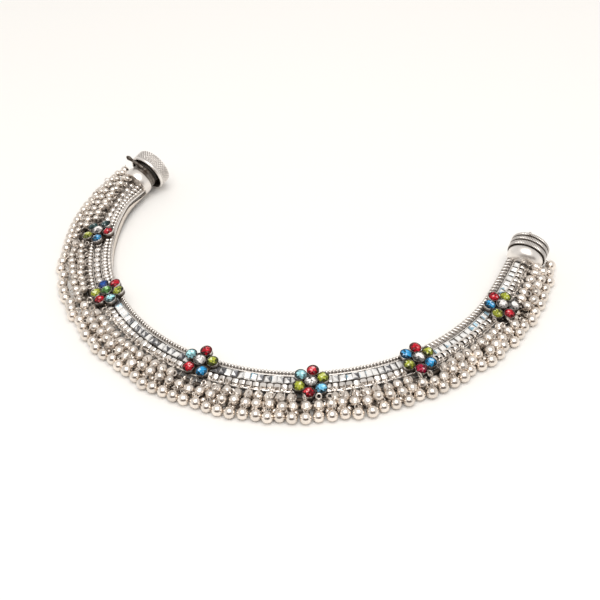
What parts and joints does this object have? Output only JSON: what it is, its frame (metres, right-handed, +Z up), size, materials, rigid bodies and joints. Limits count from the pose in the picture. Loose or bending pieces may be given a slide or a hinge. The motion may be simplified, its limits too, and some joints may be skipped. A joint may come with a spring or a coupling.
{
  "type": "bridal anklet",
  "caption": "Stiff open anklet: a sloping chain band with coloured flower heads, a fringe of small bells and balls, and a screw clasp.",
  "frame": {"origin": "centre of the ankle space, on the table that the anklet lies on", "axes": "+Z up, -Y towards the middle of the band, +Y out of the open side between the clasp's halves"},
  "size_m": [0.1782, 0.1124, 0.0156],
  "materials": {
    "silver": "warm silver, finely milled or cast, with brown-grey tarnish in the gaps",
    "polished_silver": "polished silver, near white, with faint scratches",
    "oxidised_silver": "dark oxidised silver with bright rubbed rims",
    "cut_glass": "faceted foil-backed glass in red, leaf green, sky blue, deep blue and clear"
  },
  "bodies": {
    "anklet": {"inner_wall": "polished_silver", "inner_wall_left": "polished_silver", "inner_wall_right": "polished_silver", "milled_rail": "silver", "milled_rail_left": "silver", "milled_rail_right": "silver", "flat_link_row": "polished_silver", "flat_link_row_left": "polished_silver", "flat_link_row_right": "polished_silver", "cut_bead_row": "silver", "cut_bead_row_left": "silver", "cut_bead_row_right": "silver", "flower_1_setting": "oxidised_silver", "flower_2_setting": "oxidised_silver", "flower_3_setting": "oxidised_silver", "flower_4_setting": "oxidised_silver", "flower_5_setting": "oxidised_silver", "flower_6_setting": "oxidised_silver", "flower_1_stones": "cut_glass", "flower_2_stones": "cut_glass", "flower_3_stones": "cut_glass", "flower_4_stones": "cut_glass", "flower_5_stones": "cut_glass", "flower_6_stones": "cut_glass", "bell_fringe_1": "silver", "bell_fringe_2": "silver", "bell_fringe_3": "silver", "bell_fringe_4": "silver", "bell_fringe_5": "silver", "bell_fringe_6": "silver", "bell_fringe_7": "silver", "ball_fringe_1": "polished_silver", "ball_fringe_2": "polished_silver", "ball_fringe_3": "polished_silver", "ball_fringe_4": "polished_silver", "ball_fringe_5": "polished_silver", "ball_fringe_6": "polished_silver", "ball_fringe_7": "polished_silver", "left_collar": "polished_silver", "clasp_neck": "oxidised_silver", "right_collar": "polished_silver", "ridged_drum": "silver"},
    "cap": {"knurled_cap": "silver"}
  },
  "joints": [
    {"name": "cap_turn", "type": "hinge", "parent": "anklet", "child": "cap", "pos_m": [-0.07142, 0.01557, 0.00728], "axis": [0.3047, 0.9212, 0.2419], "continuous": true}
  ]
}
